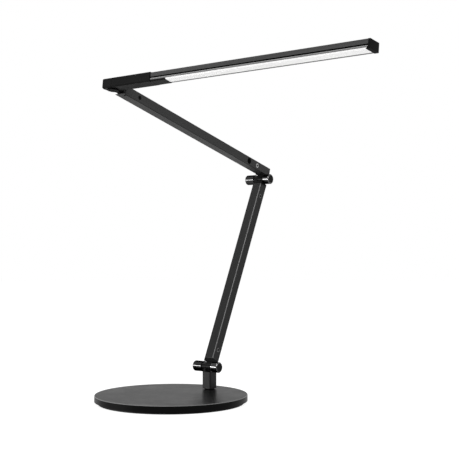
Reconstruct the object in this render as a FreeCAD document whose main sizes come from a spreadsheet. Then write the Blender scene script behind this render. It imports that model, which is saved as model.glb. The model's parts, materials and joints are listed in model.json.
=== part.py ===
"""Desk lamp: a round base, a turning post, two folding arms and a light bar on a swivelling neck."""
import FreeCAD
import Part
import Sketcher
import math
import os
import re

from FreeCAD import Placement, Rotation, Vector

# Driving dimensions in millimetres and degrees, written once each
SIZES = {
    # Clearances shared by all pieces
    "running_gap": 0.3,
    "running_clearance": 0.05,
    "fit_clearance": 0.03,
    "cut_overrun": 1.0,
    # Round base: plate, cover sheet, rubber pad and the screws between them
    "base_diameter": 208.0,
    "base_plate_thickness": 8.0,
    "base_edge_chamfer": 0.6,
    "cover_inset": 4.0,
    "cover_thickness": 2.0,
    "pad_inset": 1.0,
    "pad_thickness": 1.5,
    "cover_screw_inset": 15.0,
    "cover_screw_shank": 3.0,
    "cover_screw_head": 6.0,
    "cover_screw_head_height": 1.2,
    "cover_screw_length": 5.0,
    # Power socket in the rear rim
    "jack_width": 9.0,
    "jack_height": 5.0,
    "jack_length": 14.0,
    "jack_setback": 1.0,
    "jack_bore": 4.2,
    "jack_bore_depth": 9.0,
    "jack_pin": 1.3,
    "jack_pin_length": 7.5,
    "wire_groove_width": 4.0,
    # Swivel between the base and the post
    "post_offset": 10.3,
    "post_rim_distance": 34.0,
    "stud_diameter": 10.0,
    "stud_bore": 5.0,
    "swivel_bush_diameter": 13.0,
    "swivel_flange_diameter": 14.4,
    "swivel_flange_thickness": 0.9,
    "swivel_web": 4.0,
    "nut_recess_diameter": 30.0,
    "stop_pin_diameter": 3.0,
    "stop_pin_radius": 11.0,
    "stop_pin_drop": 1.6,
    "stop_washer_diameter": 17.0,
    "stop_washer_thickness": 1.0,
    "stop_tab_width": 2.5,
    "stop_tab_reach": 12.5,
    "swivel_spring_thickness": 0.8,
    "swivel_nut_width": 16.0,
    "swivel_nut_thickness": 2.0,
    # Square section shared by the post and both arms
    "arm_width": 15.0,
    # Post
    "post_wall": 1.5,
    "post_corner_radius": 2.0,
    "hinge_height": 31.2,
    "post_plug_length": 6.0,
    "post_tenon_length": 8.0,
    "grub_diameter": 3.0,
    "grub_length": 3.5,
    "grub_recess": 0.4,
    # Both hinges
    "knuckle_overhang": 2.7,
    "knuckle_diameter": 12.6,
    "knuckle_seam": 2.4,
    "web_inset": 0.4,
    "hinge_shaft_diameter": 6.0,
    "hinge_bush_diameter": 9.0,
    "shaft_head_diameter": 10.0,
    "shaft_head_length": 2.5,
    "shaft_thread_tail": 1.0,
    "spigot_length": 2.0,
    "spring_diameter": 11.0,
    "spring_thickness": 0.9,
    "spring_dish": 0.6,
    "hinge_nut_width": 10.0,
    "hinge_nut_length": 4.0,
    "cap_diameter": 14.8,
    "cap_length": 15.4,
    "cap_wall": 1.2,
    "cap_round": 1.5,
    "ring_diameter": 14.8,
    "ring_length": 10.1,
    "ring_wall": 1.4,
    "ring_floor": 4.0,
    "ring_bevel": 0.9,
    "end_disc_thickness": 2.0,
    "end_disc_recess": 0.4,
    # Lower arm
    "lower_arm_length": 300.0,
    "lower_arm_lean_angle": 24.64,
    "lower_arm_wall": 1.5,
    "lower_arm_chamfer": 0.8,
    "tube_setback": 11.0,
    "foot_tenon_length": 24.0,
    "top_tenon_length": 28.0,
    "foot_screw_distance": 25.4,
    "top_screw_distance": 28.75,
    "wire_diameter": 3.4,
    # Socket screws in the arms
    "arm_screw_head": 5.6,
    "arm_screw_shank": 3.0,
    "arm_screw_length": 4.0,
    "arm_screw_hole_depth": 5.0,
    "arm_screw_recess": 0.3,
    "arm_screw_socket": 2.5,
    "arm_screw_socket_depth": 0.8,
    # Upper arm
    "upper_arm_pitch_angle": 14.96,
    "upper_arm_reach": 316.8,
    "upper_arm_tail": 7.5,
    "upper_arm_lift": 13.66,
    "upper_arm_height": 12.5,
    "upper_arm_wall": 1.2,
    "upper_arm_chamfer": 0.6,
    "saddle_length": 13.0,
    "stem_width": 8.0,
    "stem_root": 1.0,
    "block_start": 4.0,
    "block_end": 34.0,
    "lug_screw_distance": 24.1,
    "lug_screw_head": 6.6,
    "port_distance": 45.45,
    "port_diameter": 9.0,
    "port_recess": 0.4,
    "port_shoulder": 0.45,
    "tail_plug_bulge": 2.5,
    "tail_plug_length": 3.0,
    "tail_plug_round": 1.6,
    "tail_plug_inset": 0.4,
    # Insert in the head end of the upper arm
    "insert_length": 34.0,
    "insert_screw_distance": 25.56,
    "fork_depth": 6.5,
    "flange_thickness": 0.6,
    "flange_reveal": 0.1,
    "lip_length": 3.7,
    "lip_thickness": 0.5,
    "lip_inset": 0.2,
    "wire_exit_diameter": 3.6,
    "wire_exit_offset": 4.8,
    "wire_exit_inset": 1.6,
    # Neck with its tilt pin and swivel stud
    "tilt_pin_inset": 2.5,
    "tilt_pin_drop": 2.2,
    "tilt_pin_diameter": 3.0,
    "neck_length": 18.28,
    "tilt_pin_below_head": 0.65,
    "tongue_width": 6.4,
    "tongue_thickness": 1.4,
    "neck_knuckle_diameter": 4.8,
    "neck_disc_diameter": 14.5,
    "neck_stud_diameter": 6.0,
    "neck_stud_bore": 3.0,
    "neck_stud_height": 6.6,
    "neck_washer_diameter": 9.5,
    "neck_washer_thickness": 0.6,
    "neck_nut_width": 9.0,
    "neck_nut_height": 2.5,
    "neck_bush_diameter": 8.0,
    # Housing at the rear of the light bar
    "head_roll_angle": 6.37,
    "housing_width": 20.4,
    "housing_drop": 0.46,
    "housing_top": 11.5,
    "housing_rear_reach": 12.5,
    "housing_seam": 5.4,
    "seam_gap": 0.4,
    "housing_end": 70.6,
    "housing_chamfer": 1.4,
    "housing_top_round": 0.8,
    "housing_floor": 1.66,
    "rear_corner_radius": 5.0,
    "rear_wall": 2.2,
    "rear_floor": 2.6,
    "rear_tenon_length": 7.0,
    "housing_screw_station": 9.0,
    "housing_screw_spacing": 11.0,
    "housing_screw_head": 3.6,
    "housing_screw_head_height": 0.8,
    "housing_screw_shank": 1.8,
    "housing_screw_length": 1.7,
    # Light bar
    "bar_width": 18.6,
    "bar_height": 10.8,
    "bar_start": 25.0,
    "bar_end": 371.1,
    "bar_top_chamfer": 0.5,
    "groove_top": 5.3,
    "groove_bottom": 3.5,
    "groove_inset": 1.0,
    "leg_thickness": 1.45,
    "channel_top": 8.4,
    "diffuser_wall": 1.2,
    "diffuser_chamfer": 1.4,
    "hook_thickness": 1.2,
    "hook_height": 1.9,
    "mask_thickness": 0.4,
    "mask_side_thickness": 0.15,
    "mask_end_near": 95.4,
    "mask_end_far": 90.9,
    "board_width": 12.0,
    "board_thickness": 1.0,
    "board_start": 76.0,
    "board_end_gap": 9.0,
    "chip_length": 3.5,
    "chip_width": 2.8,
    "chip_height": 0.7,
    "chip_margin": 3.0,
    "driver_start": 28.0,
    "driver_length": 44.0,
    "driver_part_height": 2.4,
    "driver_part_width": 7.0,
    "end_cap_length": 2.55,
    "end_cap_slant": 2.4,
    "end_cap_tenon": 5.0,
}

# Counts
COVER_SCREW_COUNT = 4
SPRING_COUNT = 3
CHIP_COUNT = 36

# Place and length of each part on the driver board, as shares of the board's length
DRIVER_PART_SHARES = ((0.25, 0.33), (0.67, 0.2))

# Radius of a sketch's geometry before its formulas size it
START_RADIUS = 1.0

XY = "XY_Plane"
XZ = "XZ_Plane"
YZ = "YZ_Plane"
ALIAS = re.compile(r"\b[a-z]+_[a-z_]+\b")

doc = FreeCAD.newDocument("desk_lamp")
sheet = doc.addObject("Spreadsheet::Sheet", "Sizes")
for row, (alias, value) in enumerate(SIZES.items(), start=1):
    sheet.set(f"A{row}", alias)
    sheet.set(f"B{row}", str(value))
    sheet.setAlias(f"B{row}", alias)
doc.recompute()

pieces = []


# Formulas, loops and features


def size(alias):
    """The value of one driving dimension."""
    return float(sheet.get(alias))


def bind(item, target, formula):
    """Tie a property to a formula whose names are driving dimensions."""
    item.setExpression(target, ALIAS.sub(r"Sizes.\g<0>", formula))


def minus(formula):
    return "0" if formula == "0" else f"-({formula})"


def rectangle(x_from, y_from, x_to, y_to):
    return [(x_from, y_from), (x_to, y_from), (x_to, y_to), (x_from, y_to)]


def centred(width, height, x="0", y="0"):
    """A rectangle about a centre."""
    return rectangle(f"{x} - ({width}) / 2", f"{y} - ({height}) / 2",
                     f"{x} + ({width}) / 2", f"{y} + ({height}) / 2")


def circle(diameter, x="0", y="0"):
    return {"diameter": diameter, "x": x, "y": y}


def hexagon(width, x="0", y="0"):
    """A hexagon given across its flats, with two flats upright."""
    flat = f"({width}) / 2"
    low = f"({width}) / 2 * tan(30 deg)"
    high = f"({width}) / 2 / cos(30 deg)"
    corners = [(flat, low), ("0", high), (minus(flat), low)]
    corners += [(minus(flat), minus(low)), ("0", minus(high)), (flat, minus(low))]
    return [(f"{x} + {across}", f"{y} + {up}") for across, up in corners]


def mirrored(points):
    """A closed loop from the points of its right half."""
    return points + [(minus(across), up) for across, up in reversed(points)]


def fix_point(sketch, item, end, across, up, start):
    """Hold a point of a sketch at two formulas."""
    for kind, formula, axis, first in (("DistanceX", across, -2, start.x), ("DistanceY", up, -1, start.y)):
        if formula == "0":
            sketch.addConstraint(Sketcher.Constraint("PointOnObject", item, end, axis))
            continue
        index = sketch.addConstraint(Sketcher.Constraint(kind, -1, 1, item, end, first))
        bind(sketch, f"Constraints[{index}]", formula)


def draw_circle(sketch, loop):
    item = sketch.addGeometry(Part.Circle(Vector(), Vector(0, 0, 1), START_RADIUS))
    index = sketch.addConstraint(Sketcher.Constraint("Diameter", item, 2 * START_RADIUS))
    bind(sketch, f"Constraints[{index}]", loop["diameter"])
    fix_point(sketch, item, 3, loop["x"], loop["y"], Vector(START_RADIUS, START_RADIUS, 0))


def draw_polygon(sketch, loop):
    """Start on a circle; the formulas then carry each corner to its place."""
    count = len(loop)
    turns = [2 * math.pi * step / count for step in range(count)]
    starts = [Vector(math.cos(turn), math.sin(turn), 0) * START_RADIUS for turn in turns]
    lines = [Part.LineSegment(starts[step], starts[(step + 1) % count]) for step in range(count)]
    items = sketch.addGeometry(lines)
    for step in range(count):
        following = items[(step + 1) % count]
        sketch.addConstraint(Sketcher.Constraint("Coincident", items[step], 2, following, 1))
        fix_point(sketch, items[step], 1, *loop[step], starts[step])


def new_sketch(body, role, offset, loops):
    """A sketch on one of the body's own planes, moved along the plane's normal."""
    plane = next(item for item in body.Origin.OriginFeatures if item.Role == role)
    sketch = body.newObject("Sketcher::SketchObject", f"{body.Name}_sketch")
    sketch.AttachmentSupport = [(plane, "")]
    sketch.MapMode = "FlatFace"
    if offset != "0":
        bind(sketch, "AttachmentOffset.Base.z", offset)
    for loop in loops:
        draw = draw_circle if isinstance(loop, dict) else draw_polygon
        draw(sketch, loop)
    return sketch


def add(body, role, start, length, *loops):
    """Pad the loops from a start along the plane's normal."""
    sketch = new_sketch(body, role, start, loops)
    feature = body.newObject("PartDesign::Pad", f"{body.Name}_pad")
    feature.Profile = sketch
    bind(feature, "Length", length)


def cut(body, role, start, length, *loops):
    """Pocket the loops along the plane's normal and make sure that something went."""
    doc.recompute()
    before = body.Shape.Volume
    sketch = new_sketch(body, role, start, loops)
    feature = body.newObject("PartDesign::Pocket", f"{body.Name}_pocket")
    feature.Profile = sketch
    feature.Reversed = True
    bind(feature, "Length", length)
    doc.recompute()
    if not body.Shape.Volume < before:
        raise ValueError(f"{feature.Label} cuts nothing")


def turn(body, profile, axis="H_Axis"):
    """Revolve a profile of places along the axis and radii about the X axis, or of radii about Z."""
    sketch = new_sketch(body, XZ, "0", [profile])
    feature = body.newObject("PartDesign::Revolution", f"{body.Name}_turned")
    feature.Profile = sketch
    feature.ReferenceAxis = (sketch, [axis])
    feature.Angle = 360


def dress(body, kind, target, formula, chosen):
    """Fillet or chamfer the edges that a test picks."""
    doc.recompute()
    base = body.Tip
    names = [f"Edge{index}" for index, edge in enumerate(base.Shape.Edges, start=1) if chosen(edge)]
    feature = body.newObject(kind, f"{body.Name}_edges")
    feature.Base = (base, names)
    bind(feature, target, formula)


def fillet(body, radius, chosen):
    dress(body, "PartDesign::Fillet", "Radius", radius, chosen)


def chamfer(body, width, chosen):
    dress(body, "PartDesign::Chamfer", "Size", width, chosen)


def same(one, other):
    return math.isclose(one, other, abs_tol=1e-6)


def runs_along(axis):
    """A test for straight edges along a direction."""
    def chosen(edge):
        return isinstance(edge.Curve, Part.Line) and same(abs(edge.Curve.Direction.dot(axis)), 1)
    return chosen


def piece(label):
    body = doc.addObject("PartDesign::Body", label)
    body.Label = label
    return body


def finish(body, frame):
    """Put a finished piece in its place."""
    body.Placement = frame
    pieces.append(body)


# Frames: each is tilted about the X axis, which is the direction of all hinge pins


def tilted(origin, angle):
    return Placement(origin, Rotation(Vector(1, 0, 0), -angle))


base_top = size("pad_thickness") + size("cover_thickness") + size("base_plate_thickness")
base_frame = Placement()
post_y = size("base_diameter") / 2 - size("post_rim_distance")
post_frame = tilted(Vector(size("post_offset"), post_y, base_top), 0)
lower_hinge = post_frame.multVec(Vector(0, 0, size("hinge_height")))
post_hinge_frame = tilted(lower_hinge, 0)
lower_frame = tilted(lower_hinge, size("lower_arm_lean_angle"))
upper_hinge = lower_frame.multVec(Vector(0, 0, size("lower_arm_length")))
lower_top_frame = tilted(upper_hinge, size("lower_arm_lean_angle"))
upper_frame = tilted(upper_hinge, size("upper_arm_pitch_angle"))
tilt_pin = upper_frame.multVec(Vector(0, size("tilt_pin_inset") - size("upper_arm_reach"),
                                      size("upper_arm_lift") - size("tilt_pin_drop")))
pin_from_swivel = Vector(0, size("neck_length"), -size("tilt_pin_below_head"))
head_turn = Rotation(Vector(1, 0, 0), -size("head_roll_angle"))
head_frame = Placement(tilt_pin - head_turn.multVec(pin_from_swivel), head_turn)


# Base


COVER_TOP = "pad_thickness + cover_thickness"
JACK_BACK = "base_diameter / 2 - jack_setback - jack_length"
COVER_DIAMETER = "base_diameter - 2 * cover_inset"
POST_PLACE = ("post_offset", "base_diameter / 2 - post_rim_distance")
STOP_PIN_PLACE = (POST_PLACE[0], f"{POST_PLACE[1]} - stop_pin_radius")


def cover_screw_loops(diameter):
    """One circle for each cover screw."""
    half_turn = 180
    angles = [half_turn * (2 * step + 1) / COVER_SCREW_COUNT for step in range(COVER_SCREW_COUNT)]
    radius = f"(({COVER_DIAMETER}) / 2 - cover_screw_inset)"
    return [circle(diameter, f"{radius} * cos({angle} deg)", f"{radius} * sin({angle} deg)")
            for angle in angles]


def build_base_plate():
    body = piece("base_plate")
    add(body, XY, COVER_TOP, "base_plate_thickness", circle("base_diameter"))
    top = base_top
    chamfer(body, "base_edge_chamfer", lambda edge: same(edge.BoundBox.ZMin, top))
    through = "base_plate_thickness + 2 * cut_overrun"
    cut(body, XY, f"{COVER_TOP} - cut_overrun", through,
        circle("swivel_bush_diameter + 2 * fit_clearance", *POST_PLACE))
    recess = "base_plate_thickness - swivel_web + cut_overrun"
    cut(body, XY, f"{COVER_TOP} - cut_overrun", recess, circle("nut_recess_diameter", *POST_PLACE))
    cut(body, XY, f"{COVER_TOP} - cut_overrun", f"{recess} + swivel_web / 2",
        circle("stop_pin_diameter + 2 * fit_clearance", *STOP_PIN_PLACE))
    cut(body, XY, f"{COVER_TOP} - cut_overrun", "cut_overrun + jack_height + fit_clearance",
        rectangle("-jack_width / 2 - fit_clearance", f"{JACK_BACK} - fit_clearance",
                  "jack_width / 2 + fit_clearance", "base_diameter / 2 + cut_overrun"))
    cut(body, XY, f"{COVER_TOP} - cut_overrun", "cut_overrun + wire_groove_width",
        rectangle("-wire_groove_width / 2", POST_PLACE[1], "wire_groove_width / 2", JACK_BACK))
    depth = "cover_screw_length - cover_thickness + cover_screw_head_height + cut_overrun + fit_clearance"
    cut(body, XY, f"{COVER_TOP} - cut_overrun", depth,
        *cover_screw_loops("cover_screw_shank + 2 * fit_clearance"))
    finish(body, base_frame)


def build_base_cover():
    body = piece("base_cover")
    add(body, XY, "pad_thickness", "cover_thickness", circle(COVER_DIAMETER),
        circle("nut_recess_diameter", *POST_PLACE),
        *cover_screw_loops("cover_screw_shank + 2 * fit_clearance"))
    cut(body, XY, "pad_thickness - cut_overrun", "cut_overrun + cover_screw_head_height",
        *cover_screw_loops("cover_screw_head + 2 * fit_clearance"))
    finish(body, base_frame)


def build_base_pad():
    body = piece("base_pad")
    add(body, XY, "0", "pad_thickness", circle(f"{COVER_DIAMETER} - 2 * pad_inset"))
    finish(body, base_frame)


def build_base_cover_screws():
    body = piece("base_cover_screws")
    add(body, XY, "pad_thickness", "cover_screw_head_height", *cover_screw_loops("cover_screw_head"))
    add(body, XY, "pad_thickness + cover_screw_head_height", "cover_screw_length",
        *cover_screw_loops("cover_screw_shank"))
    finish(body, base_frame)


def build_power_jack():
    """A low socket that opens at the rear rim, with its contact pin."""
    body = piece("power_jack")
    centre = ("0", f"{COVER_TOP} + jack_height / 2")
    front = "jack_setback - base_diameter / 2"
    add(body, XZ, front, "jack_length", centred("jack_width", "jack_height", *centre))
    cut(body, XZ, f"{front} - cut_overrun", "cut_overrun + jack_bore_depth", circle("jack_bore", *centre))
    add(body, XZ, f"{front} + jack_bore_depth - jack_pin_length", "jack_pin_length",
        circle("jack_pin", *centre))
    finish(body, base_frame)


def build_swivel_bush():
    """Flanged sleeve in the plate; its flange is the dark line under the post."""
    body = piece("swivel_bush")
    bore = "stud_diameter / 2 + running_clearance"
    turn(body, [(bore, "-swivel_web"), ("swivel_bush_diameter / 2", "-swivel_web"),
                ("swivel_bush_diameter / 2", "0"), ("swivel_flange_diameter / 2", "0"),
                ("swivel_flange_diameter / 2", "swivel_flange_thickness"),
                (bore, "swivel_flange_thickness")], "V_Axis")
    finish(body, post_frame)


def build_stop_pin():
    body = piece("swivel_stop_pin")
    add(body, XY, "-swivel_web - stop_pin_drop", "stop_pin_drop + swivel_web / 2",
        circle("stop_pin_diameter", "0", "-stop_pin_radius"))
    finish(body, post_frame)


# Post, in a frame on top of the base at the post's axis


POST_FOOT = "swivel_flange_thickness + running_gap"
POST_BORE = "arm_width - 2 * post_wall"
KNUCKLE_CLEAR = "knuckle_diameter / 2 + running_gap"
STOP_WASHER_TOP = "-swivel_web - running_gap"
SWIVEL_SPRING_TOP = f"{STOP_WASHER_TOP} - stop_washer_thickness"
SWIVEL_NUT_TOP = f"{SWIVEL_SPRING_TOP} - swivel_spring_thickness"
SWIVEL_NUT_FOOT = f"{SWIVEL_NUT_TOP} - swivel_nut_thickness"
POST_PLUG_MIDDLE = f"{POST_FOOT} + post_plug_length / 2"
POST_TENON_MIDDLE = f"hinge_height - ({KNUCKLE_CLEAR}) - post_tenon_length / 2"
GRUB_START = "grub_recess - arm_width / 2"
GRUB_HOLE = "grub_diameter + 2 * fit_clearance"


def build_post_tube():
    body = piece("post_tube")
    height = f"hinge_height - ({KNUCKLE_CLEAR}) - ({POST_FOOT})"
    add(body, XY, POST_FOOT, height, centred("arm_width", "arm_width"))
    fillet(body, "post_corner_radius", runs_along(Vector(0, 0, 1)))
    cut(body, XY, f"{POST_FOOT} - cut_overrun", f"{height} + 2 * cut_overrun", centred(POST_BORE, POST_BORE))
    cut(body, XZ, "-arm_width / 2 - cut_overrun", "post_wall + 2 * cut_overrun",
        circle(GRUB_HOLE, "0", POST_PLUG_MIDDLE), circle(GRUB_HOLE, "0", POST_TENON_MIDDLE))
    finish(body, post_frame)


def build_swivel_stud():
    """Square plug in the foot of the post with a hollow stud through the base."""
    body = piece("swivel_stud")
    plug = f"{POST_BORE} - 2 * fit_clearance"
    add(body, XY, POST_FOOT, "post_plug_length", centred(plug, plug))
    reach = f"{POST_FOOT} - ({SWIVEL_NUT_FOOT})"
    add(body, XY, SWIVEL_NUT_FOOT, reach, circle("stud_diameter"))
    cut(body, XY, f"{SWIVEL_NUT_FOOT} - cut_overrun", f"{reach} + post_plug_length + 2 * cut_overrun",
        circle("stud_bore"))
    cut(body, XZ, GRUB_START, "grub_length + fit_clearance", circle(GRUB_HOLE, "0", POST_PLUG_MIDDLE))
    finish(body, post_frame)


def build_stop_washer():
    body = piece("swivel_stop_washer")
    start = f"{STOP_WASHER_TOP} - stop_washer_thickness"
    add(body, XY, start, "stop_washer_thickness", circle("stop_washer_diameter"))
    add(body, XY, start, "stop_washer_thickness",
        rectangle("-stop_tab_width / 2", "0", "stop_tab_width / 2", "stop_tab_reach"))
    cut(body, XY, f"{start} - cut_overrun", "stop_washer_thickness + 2 * cut_overrun",
        circle("stud_diameter + 2 * fit_clearance"))
    finish(body, post_frame)


def build_swivel_spring():
    body = piece("swivel_spring_washer")
    add(body, XY, f"{SWIVEL_SPRING_TOP} - swivel_spring_thickness", "swivel_spring_thickness",
        circle("stop_washer_diameter"), circle("stud_diameter + 2 * fit_clearance"))
    finish(body, post_frame)


def build_swivel_nut():
    body = piece("swivel_nut")
    add(body, XY, SWIVEL_NUT_FOOT, "swivel_nut_thickness", hexagon("swivel_nut_width"),
        circle("stud_diameter + 2 * fit_clearance"))
    finish(body, post_frame)


def build_post_grub_screws():
    body = piece("post_grub_screws")
    add(body, XZ, GRUB_START, "grub_length", circle("grub_diameter", "0", POST_PLUG_MIDDLE),
        circle("grub_diameter", "0", POST_TENON_MIDDLE))
    finish(body, post_frame)


# Hinge knuckles and hinge sets, in frames on the hinge axis


SEAM_LEFT = "-knuckle_seam - running_gap / 2"
SEAM_RIGHT = "-knuckle_seam + running_gap / 2"
SHAFT_HOLE = "hinge_shaft_diameter + 2 * fit_clearance"
WEB_HALF = "knuckle_diameter / 2 - web_inset"
KNUCKLE_LEFT = "arm_width / 2 + knuckle_overhang"
KNUCKLE_RIGHT = "arm_width / 2"
RING_START = f"{KNUCKLE_RIGHT} + running_gap"
RING_END = f"{RING_START} + ring_length"
CAP_END = f"{KNUCKLE_LEFT} + cap_length"
RING_SEAT = f"{RING_START} + ring_floor"
CAP_BORE = "cap_diameter - 2 * cap_wall"
RING_BORE = "ring_diameter - 2 * ring_wall"
SPRING_START = f"-({KNUCKLE_LEFT}) - spigot_length"
SPRING_STACK = f"{SPRING_COUNT} * spring_thickness"
NUT_START = f"{SPRING_START} - {SPRING_STACK} - hinge_nut_length"


def add_left_knuckle(body, left_face):
    """Knuckle, web and spigot on top of a member that ends below the axis; left_face is the web's side."""
    add(body, XY, minus(KNUCKLE_CLEAR), KNUCKLE_CLEAR,
        rectangle(left_face, minus(WEB_HALF), SEAM_LEFT, WEB_HALF))
    add(body, YZ, minus(KNUCKLE_LEFT), f"{KNUCKLE_LEFT} + ({SEAM_LEFT})", circle("knuckle_diameter"))
    add(body, YZ, SPRING_START, "spigot_length", circle(f"{CAP_BORE} - 2 * fit_clearance"))
    cut(body, YZ, f"{SPRING_START} - cut_overrun", f"{KNUCKLE_LEFT} + spigot_length + cut_overrun",
        circle(SHAFT_HOLE))


def add_right_knuckle(body):
    """Knuckle and web below a member that starts above the axis, bored for the bush."""
    length = f"{KNUCKLE_RIGHT} - ({SEAM_RIGHT})"
    add(body, XY, "0", KNUCKLE_CLEAR, rectangle(SEAM_RIGHT, minus(WEB_HALF), KNUCKLE_RIGHT, WEB_HALF))
    add(body, YZ, SEAM_RIGHT, length, circle("knuckle_diameter"))
    cut(body, YZ, f"{SEAM_RIGHT} - cut_overrun", f"{length} + 2 * cut_overrun",
        circle("hinge_bush_diameter + 2 * fit_clearance"))


def build_hinge_shaft(label, frame):
    body = piece(label)
    tail = f"{NUT_START} - shaft_thread_tail"
    head_end = f"{RING_SEAT} + shaft_head_length"
    radius = "hinge_shaft_diameter / 2"
    head = "shaft_head_diameter / 2"
    turn(body, [(tail, "0"), (head_end, "0"), (head_end, head), (RING_SEAT, head), (RING_SEAT, radius),
                (tail, radius)])
    finish(body, frame)


def build_hinge_bush(label, frame):
    body = piece(label)
    inner = "hinge_shaft_diameter / 2 + running_clearance"
    turn(body, rectangle(SEAM_RIGHT, inner, KNUCKLE_RIGHT, "hinge_bush_diameter / 2"))
    finish(body, frame)


def build_hinge_springs(label, frame):
    """Stack of dished washers against the spigot."""
    body = piece(label)
    outer = []
    for step in range(SPRING_COUNT):
        start = f"{SPRING_START} - {step} * spring_thickness"
        outer.append((start, "spring_diameter / 2 - spring_dish"))
        outer.append((f"{start} - spring_thickness / 2", "spring_diameter / 2"))
    end = f"{SPRING_START} - {SPRING_STACK}"
    outer.append((end, "spring_diameter / 2 - spring_dish"))
    inner = "hinge_shaft_diameter / 2 + fit_clearance"
    turn(body, [(SPRING_START, inner)] + outer + [(end, inner)])
    finish(body, frame)


def build_hinge_nut(label, frame):
    body = piece(label)
    add(body, YZ, NUT_START, "hinge_nut_length", hexagon("hinge_nut_width"), circle(SHAFT_HOLE))
    finish(body, frame)


def build_hinge_cap(label, frame):
    """Polished cup over the springs, pushed on to the spigot."""
    body = piece(label)
    outer = "cap_diameter / 2"
    inner = f"({CAP_BORE}) / 2"
    floor = f"cap_wall - ({CAP_END})"
    mouth = minus(KNUCKLE_LEFT)
    end = minus(CAP_END)
    turn(body, [(mouth, inner), (mouth, outer), (end, outer), (end, "0"), (floor, "0"), (floor, inner)])
    doc.recompute()
    far = body.Shape.BoundBox.XMin
    fillet(body, "cap_round", lambda edge: same(edge.BoundBox.XMin, far) and same(edge.BoundBox.XMax, far))
    finish(body, frame)


def build_hinge_ring(label, frame):
    """Bright cup under the head of the shaft, with a bevelled rim."""
    body = piece(label)
    outer = "ring_diameter / 2"
    inner = f"({RING_BORE}) / 2"
    hole = "hinge_shaft_diameter / 2 + fit_clearance"
    turn(body, [(RING_START, hole), (RING_START, outer), (f"{RING_END} - ring_bevel", outer),
                (RING_END, "ring_diameter / 2 - ring_bevel"), (RING_END, inner), (RING_SEAT, inner),
                (RING_SEAT, hole)])
    finish(body, frame)


def build_hinge_disc(label, frame):
    body = piece(label)
    end = f"{RING_END} - end_disc_recess"
    turn(body, rectangle(f"{end} - end_disc_thickness", "0", end, f"({RING_BORE}) / 2 - fit_clearance"))
    finish(body, frame)


def build_hinge_set(name, frame):
    build_hinge_shaft(f"{name}_hinge_shaft", frame)
    build_hinge_springs(f"{name}_hinge_springs", frame)
    build_hinge_nut(f"{name}_hinge_nut", frame)
    build_hinge_cap(f"{name}_hinge_cap", frame)
    build_hinge_ring(f"{name}_hinge_ring", frame)
    build_hinge_disc(f"{name}_hinge_disc", frame)


def build_post_lug():
    body = piece("post_lug")
    tenon = f"{POST_BORE} - 2 * fit_clearance"
    add(body, XY, f"-({KNUCKLE_CLEAR}) - post_tenon_length", "post_tenon_length", centred(tenon, tenon))
    add_left_knuckle(body, f"-({tenon}) / 2")
    cut(body, XZ, GRUB_START, "grub_length + fit_clearance",
        circle(GRUB_HOLE, "0", f"-({KNUCKLE_CLEAR}) - post_tenon_length / 2"))
    finish(body, post_hinge_frame)


# Lower arm, in a frame at the lower hinge with Z along the arm


LOWER_BORE = "arm_width - 2 * lower_arm_wall"
LOWER_TENON = f"{LOWER_BORE} - 2 * fit_clearance"
LOWER_FACE = "arm_width / 2"
SHOULDER_HEIGHT = f"tube_setback - ({KNUCKLE_CLEAR})"
WIRE_HOLE = "wire_diameter + 2 * fit_clearance"
SCREW_HOLE = "arm_screw_shank + 2 * fit_clearance"
LOWER_SCREWS = ("foot_screw_distance", "lower_arm_length - top_screw_distance")


def cut_screw_hole(body, face, wall, across, up):
    """Hole for a screw's shank behind the wall of a tube."""
    cut(body, YZ, f"{face} - {wall} - arm_screw_hole_depth", "arm_screw_hole_depth + cut_overrun",
        circle(SCREW_HOLE, across, up))


def build_lower_arm_tube():
    body = piece("lower_arm_tube")
    length = "lower_arm_length - 2 * tube_setback"
    add(body, XY, "tube_setback", length, centred("arm_width", "arm_width"))
    chamfer(body, "lower_arm_chamfer", runs_along(Vector(0, 0, 1)))
    cut(body, XY, "tube_setback - cut_overrun", f"{length} + 2 * cut_overrun",
        centred(LOWER_BORE, LOWER_BORE))
    cut(body, YZ, f"{LOWER_FACE} - lower_arm_wall - cut_overrun", "lower_arm_wall + 2 * cut_overrun",
        *[circle("arm_screw_head + 2 * fit_clearance", "0", place) for place in LOWER_SCREWS])
    finish(body, lower_frame)


def build_lower_arm_foot():
    """Lug at the foot of the lower arm: knuckle, shoulder and tenon."""
    body = piece("lower_arm_foot_lug")
    add(body, XY, KNUCKLE_CLEAR, SHOULDER_HEIGHT, centred("arm_width", "arm_width"))
    chamfer(body, "lower_arm_chamfer", runs_along(Vector(0, 0, 1)))
    add(body, XY, "tube_setback", "foot_tenon_length", centred(LOWER_TENON, LOWER_TENON))
    add_right_knuckle(body)
    cut(body, XY, "tube_setback", "foot_tenon_length + cut_overrun", circle(WIRE_HOLE))
    cut_screw_hole(body, LOWER_FACE, "lower_arm_wall", "0", "foot_screw_distance")
    finish(body, lower_frame)


def build_lower_arm_top():
    """Lug at the top of the lower arm, about the upper hinge."""
    body = piece("lower_arm_top_lug")
    add(body, XY, "-tube_setback", SHOULDER_HEIGHT, centred("arm_width", "arm_width"))
    chamfer(body, "lower_arm_chamfer", runs_along(Vector(0, 0, 1)))
    add(body, XY, "-tube_setback - top_tenon_length", "top_tenon_length", centred(LOWER_TENON, LOWER_TENON))
    add_left_knuckle(body, "lower_arm_chamfer - arm_width / 2")
    cut(body, XY, "-tube_setback - top_tenon_length - cut_overrun", "top_tenon_length + cut_overrun",
        circle(WIRE_HOLE))
    cut_screw_hole(body, LOWER_FACE, "lower_arm_wall", "0", "-top_screw_distance")
    finish(body, lower_top_frame)


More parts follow.
